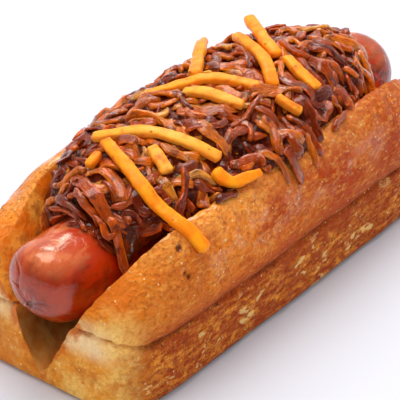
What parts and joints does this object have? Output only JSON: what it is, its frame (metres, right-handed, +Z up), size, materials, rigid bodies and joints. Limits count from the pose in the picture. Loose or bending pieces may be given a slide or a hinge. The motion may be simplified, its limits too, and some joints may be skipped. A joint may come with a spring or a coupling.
{
  "type": "hot dog",
  "caption": "Frankfurter in a top-split bun, under a long heap of fried onion strands with strips of grated cheese scattered on top.",
  "frame": {"origin": "on the table, under the middle of the bun's flat underside", "axes": "+X along the bun and the sausage, with the sausage's pleated tip at the -X end; +Y across the bun, -Y the side over which the onions spill; +Z up, out of the open slot of the bun"},
  "size_m": [0.1526, 0.0634, 0.0576],
  "materials": {
    "bun_crust": "baked crust, golden to orange brown, slightly glossy",
    "sausage_skin": "moist smooth casing, reddish brown, glossy",
    "fried_onion": "caramelised, amber to dark brown, wet and glossy",
    "cheese": "soft cheese, yellow orange, faintly waxy"
  },
  "bodies": {
    "root": {"bun": "bun_crust", "sausage": "sausage_skin", "onions": "fried_onion", "cheese_01": "cheese", "cheese_02": "cheese", "cheese_03": "cheese", "cheese_04": "cheese", "cheese_05": "cheese", "cheese_06": "cheese", "cheese_07": "cheese", "cheese_08": "cheese", "cheese_09": "cheese", "cheese_10": "cheese", "cheese_11": "cheese", "cheese_12": "cheese"}
  },
  "joints": []
}
